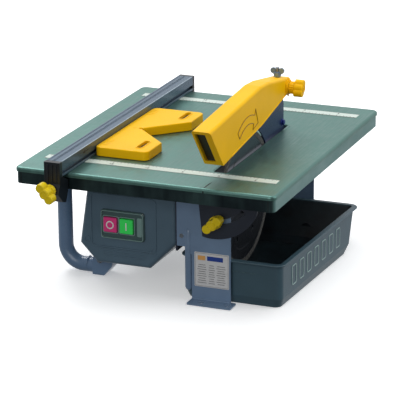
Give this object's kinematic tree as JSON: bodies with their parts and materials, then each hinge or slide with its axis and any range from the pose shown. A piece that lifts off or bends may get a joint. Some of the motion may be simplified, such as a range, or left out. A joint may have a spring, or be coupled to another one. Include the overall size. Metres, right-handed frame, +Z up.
{
  "type": "wet tile saw",
  "caption": "Tabletop wet tile saw: tilting slotted table over a guarded diamond blade, enclosed side motor, rip fence with angle guide, pull-out water tank.",
  "frame": {"origin": "on the bench, in the blade's plane, at the centre of the rectangle of bolt-down holes", "axes": "+X to the operator's right, square to the blade; +Y away from the operator, along the blade; +Z up"},
  "size_m": [0.363, 0.4805, 0.26],
  "materials": {
    "galvanised_steel": "semi-matte galvanised",
    "ruler_enamel": "matt printed strip",
    "dark_plate": "satin black",
    "frame_paint": "satin powder coat",
    "bright_steel": "zinc plated",
    "shaft_steel": "ground",
    "blade_steel": "ground",
    "knife_steel": "blued satin",
    "diamond_segment": "gritty",
    "cast_alloy": "as cast",
    "electrical_steel": "laminated",
    "copper_winding": "lacquered wire",
    "housing_plastic": "fine texture",
    "bezel_plastic": "clear splash cover",
    "black_plastic": "matt",
    "stop_plastic": "gloss",
    "start_plastic": "gloss",
    "yellow_plastic": "satin",
    "leg_paint": "satin powder coat",
    "fence_aluminium": "anodised",
    "tank_plastic": "satin",
    "soft_rubber": "matt",
    "label_silver": "brushed foil"
  },
  "bodies": {
    "base": {"front_bracket": "frame_paint", "rear_bracket": "frame_paint", "motor_frame": "frame_paint", "hinge_pins": "bright_steel", "tilt_bolts": "bright_steel", "frame_bolts": "bright_steel", "label_plate": "label_silver", "spindle_housing": "cast_alloy", "spindle_bearing": "shaft_steel", "spindle_bolts": "bright_steel", "left_shield": "cast_alloy", "right_shield": "cast_alloy", "motor_bearings": "shaft_steel", "stator_core": "electrical_steel", "stator_windings": "copper_winding", "run_capacitor": "black_plastic", "housing_front_shell": "housing_plastic", "housing_rear_shell": "housing_plastic", "housing_screws": "bright_steel", "cord_grommet": "soft_rubber", "switch_bezel": "bezel_plastic", "switch_body": "black_plastic", "front_leg": "leg_paint", "rear_leg": "leg_paint", "leg_clamps": "black_plastic", "leg_pads": "soft_rubber", "knife_bracket": "frame_paint", "riving_knife": "knife_steel", "knife_bolts": "bright_steel"},
    "table": {"table_top": "galvanised_steel", "table_skirt": "galvanised_steel", "rulers": "ruler_enamel", "front_quadrant": "dark_plate", "rear_quadrant": "dark_plate"},
    "fence": {"fence_rail": "fence_aluminium", "fence_clamp": "black_plastic", "fence_hook": "black_plastic"},
    "fence_lock": {"fence_screw": "bright_steel", "fence_knob": "yellow_plastic"},
    "guide": {"angle_guide": "yellow_plastic", "guide_key": "black_plastic"},
    "guard": {"guard_shell": "yellow_plastic", "guard_pivot_bolt": "bright_steel", "guard_spacers": "bright_steel", "guard_stud": "bright_steel"},
    "guard_lock": {"guard_knob": "yellow_plastic"},
    "guard_wing": {"wing_nut": "bright_steel"},
    "front_lock": {"front_tilt_knob": "yellow_plastic"},
    "rear_lock": {"rear_tilt_knob": "yellow_plastic"},
    "stop": {"stop_button": "stop_plastic"},
    "start": {"start_button": "start_plastic"},
    "blade_drive": {"motor_shaft": "shaft_steel", "rotor_core": "electrical_steel", "cooling_fan": "black_plastic", "inner_flange": "shaft_steel", "blade_core": "blade_steel", "diamond_rim": "diamond_segment", "outer_flange": "shaft_steel", "arbor_nut": "shaft_steel"},
    "tank": {"water_tank": "tank_plastic"}
  },
  "joints": [
    {"name": "table_tilt", "type": "hinge", "parent": "base", "child": "table", "pos_m": [0, 0, 0.16], "axis": [0, 1, 0], "range_deg": [0, 45]},
    {"name": "fence_slide", "type": "slide", "parent": "table", "child": "fence", "axis": [1, 0, 0], "range_m": [-0.038, 0.055]},
    {"name": "fence_lock_turn", "type": "hinge", "parent": "fence", "child": "fence_lock", "pos_m": [-0.197, -0.25, 0.155], "axis": [0, -1, 0], "range_deg": [0, 180]},
    {"name": "guide_slide", "type": "slide", "parent": "fence", "child": "guide", "axis": [0, 1, 0], "range_m": [-0.06, 0.09]},
    {"name": "guard_lift", "type": "hinge", "parent": "base", "child": "guard", "pos_m": [0, 0.066, 0.232], "axis": [-1, 0, 0], "range_deg": [0, 35]},
    {"name": "guard_lock_turn", "type": "hinge", "parent": "guard", "child": "guard_lock", "pos_m": [0.02, 0.066, 0.232], "axis": [1, 0, 0], "range_deg": [0, 180]},
    {"name": "guard_wing_turn", "type": "hinge", "parent": "guard", "child": "guard_wing", "pos_m": [0, 0.06, 0.25], "axis": [0, 0, 1], "range_deg": [0, 180]},
    {"name": "front_lock_turn", "type": "hinge", "parent": "base", "child": "front_lock", "pos_m": [0, -0.17, 0.112], "axis": [0, -1, 0], "range_deg": [0, 180]},
    {"name": "rear_lock_turn", "type": "hinge", "parent": "base", "child": "rear_lock", "pos_m": [0, 0.17, 0.112], "axis": [0, 1, 0], "range_deg": [0, 180]},
    {"name": "stop_press", "type": "slide", "parent": "base", "child": "stop", "axis": [0, 1, 0], "range_m": [0, 0.003], "stiffness_N_per_m": 400, "springref_m": -0.001},
    {"name": "start_press", "type": "slide", "parent": "base", "child": "start", "axis": [0, 1, 0], "range_m": [0, 0.003], "stiffness_N_per_m": 400, "springref_m": -0.001},
    {"name": "blade_spin", "type": "hinge", "parent": "base", "child": "blade_drive", "pos_m": [0, -0.065, 0.114], "axis": [1, 0, 0], "continuous": true},
    {"name": "tank_slide", "type": "slide", "parent": "base", "child": "tank", "axis": [1, 0, 0], "range_m": [0, 0.04]}
  ]
}
